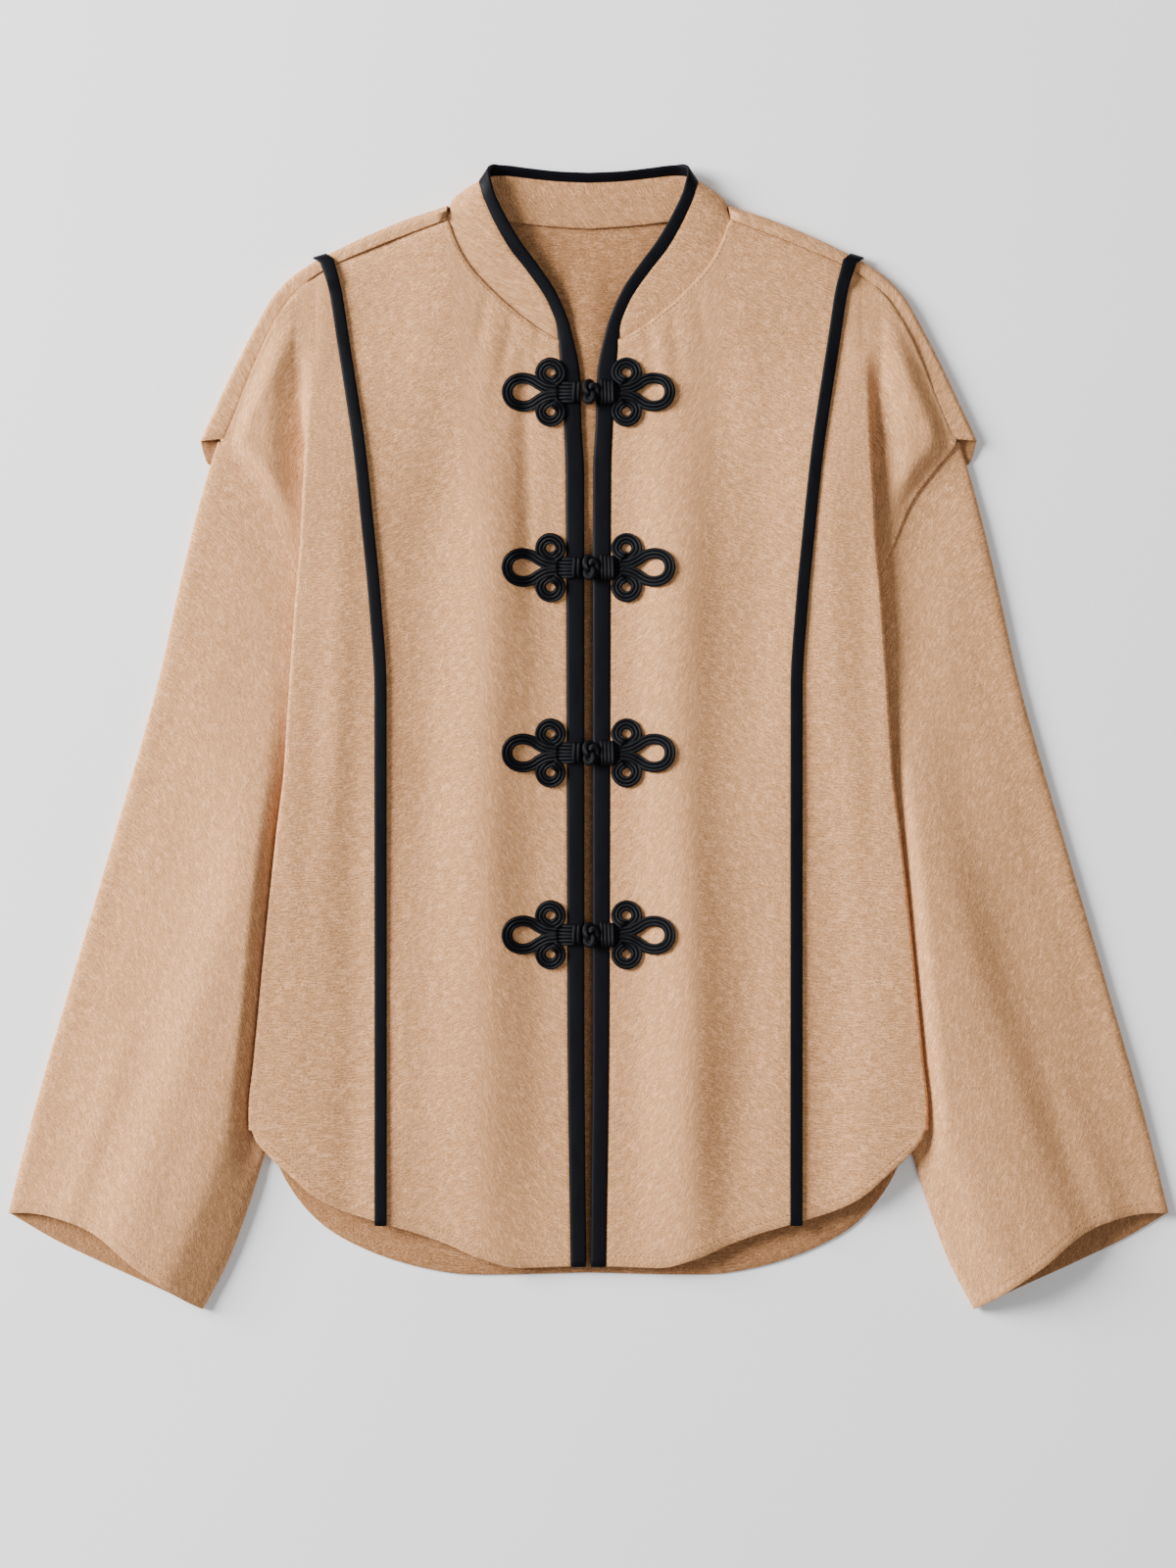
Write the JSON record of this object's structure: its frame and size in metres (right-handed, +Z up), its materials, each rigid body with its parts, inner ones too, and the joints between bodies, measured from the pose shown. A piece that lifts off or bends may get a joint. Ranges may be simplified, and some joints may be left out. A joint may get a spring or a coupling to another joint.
{
  "type": "mandarin collar blouse",
  "caption": "Loose stand-collar blouse laid flat, with wide sleeves, a bound front edge, princess tapes and knotted cord frogs",
  "frame": {"origin": "on the surface that the garment lies on, under the middle of its outline", "axes": "+Z up from the surface, +Y from the hem toward the collar, +X toward the wearer's left, at the right of the picture"},
  "size_m": [0.7332, 0.7226, 0.0172],
  "materials": {
    "camel_cloth": "matte plain weave suiting with a fine fleck",
    "black_satin": "soft satin bias tape",
    "black_cord": "matte twisted cord"
  },
  "bodies": {
    "root": {"back": "camel_cloth", "front_centre_left": "camel_cloth", "front_centre_right": "camel_cloth", "front_side_left": "camel_cloth", "front_side_right": "camel_cloth", "sleeve_left": "camel_cloth", "sleeve_right": "camel_cloth", "collar": "camel_cloth", "edge_binding": "black_satin", "tape_left": "black_satin", "tape_right": "black_satin", "frog_left_1": "black_cord", "frog_right_1": "black_cord", "knot_1": "black_cord", "frog_left_2": "black_cord", "frog_right_2": "black_cord", "knot_2": "black_cord", "frog_left_3": "black_cord", "frog_right_3": "black_cord", "knot_3": "black_cord", "frog_left_4": "black_cord", "frog_right_4": "black_cord", "knot_4": "black_cord"}
  },
  "joints": []
}
